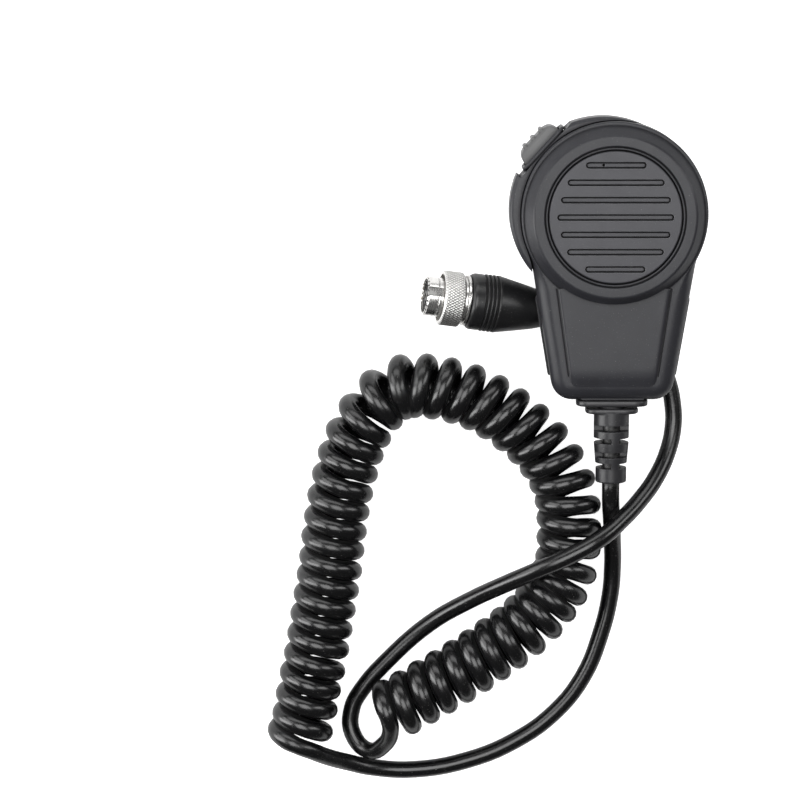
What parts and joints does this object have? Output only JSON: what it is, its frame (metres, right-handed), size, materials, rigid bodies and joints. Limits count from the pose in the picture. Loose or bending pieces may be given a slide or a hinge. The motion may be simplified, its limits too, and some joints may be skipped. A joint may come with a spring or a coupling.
{
  "type": "hand microphone",
  "caption": "Hand-held radio microphone with a slotted round grille, a side push-to-talk button, a hang-up button and a curly cord that ends in a screw-on round plug",
  "frame": {"origin": "middle of the hang-up button's flat face on the microphone's back, which is what the microphone lies on", "axes": "+Z out of the grille, +Y from the cord end to the top of the head, +X to the right seen from the grille side"},
  "size_m": [0.1444, 0.2271, 0.0285],
  "materials": {
    "shell": "fine moulded grain, satin dark grey",
    "grille": "satin dark grey",
    "button": "satin mid grey",
    "relief": "satin dark grey rubber",
    "cord": "glossy black cord jacket",
    "boot": "satin black rubber",
    "nickel": "bright nickel plate",
    "steel": "zinc-plated steel",
    "gold": "gold-plated brass",
    "insert": "black moulded insert",
    "board": "green circuit board",
    "felt": "black acoustic felt",
    "header": "cream nylon",
    "wire": "coloured wire insulation"
  },
  "bodies": {
    "housing": {"front_shell": "shell", "back_shell": "shell", "ptt_bezel": "shell", "grille_disc": "grille", "strain_relief": "relief", "capsule_holder": "relief", "cord_sheath_end": "cord", "mic_lead": "cord", "curly_cord": "cord", "plug_lead": "cord", "plug_boot": "boot", "hang_up_button": "nickel", "plug_collar": "nickel", "plug_barrel": "nickel", "mic_capsule": "steel", "shell_screw_1": "steel", "shell_screw_2": "steel", "shell_screw_3": "steel", "shell_screw_4": "steel", "hang_up_washer": "steel", "hang_up_screw": "steel", "board_screw_1": "steel", "board_screw_2": "steel", "cable_clamp": "steel", "clamp_screw_1": "steel", "clamp_screw_2": "steel", "plug_contact_1": "gold", "plug_contact_2": "gold", "plug_contact_3": "gold", "plug_contact_4": "gold", "plug_contact_5": "gold", "plug_contact_6": "gold", "plug_contact_7": "gold", "plug_contact_8": "gold", "ptt_switch": "insert", "plug_insert": "insert", "circuit_board": "board", "grille_felt": "felt", "wire_header": "header", "wire_1": "wire", "wire_2": "wire", "wire_3": "wire", "wire_4": "wire", "wire_5": "wire", "wire_6": "wire", "capsule_wire_1": "wire", "capsule_wire_2": "wire"},
    "ptt_button": {"ptt_button": "button"},
    "switch_plunger": {"ptt_plunger": "header"},
    "coupling_ring": {"coupling_ring": "nickel"}
  },
  "joints": [
    {"name": "ptt_press", "type": "slide", "parent": "housing", "child": "ptt_button", "axis": [0.7361, -0.6769, 0], "range_m": [0, 0.0015], "stiffness_N_per_m": 1500, "springref_m": -0.001},
    {"name": "plunger_press", "type": "slide", "parent": "housing", "child": "switch_plunger", "axis": [0.7361, -0.6769, 0], "range_m": [0, 0.0016]},
    {"name": "coupling_turn", "type": "hinge", "parent": "housing", "child": "coupling_ring", "pos_m": [-0.05331, -0.02888, 0.01226], "axis": [-0.9762, 0.1407, 0.165], "continuous": true}
  ],
  "couplings": [
    {"joint": "plunger_press", "follows": "ptt_press", "ratio": 1}
  ]
}
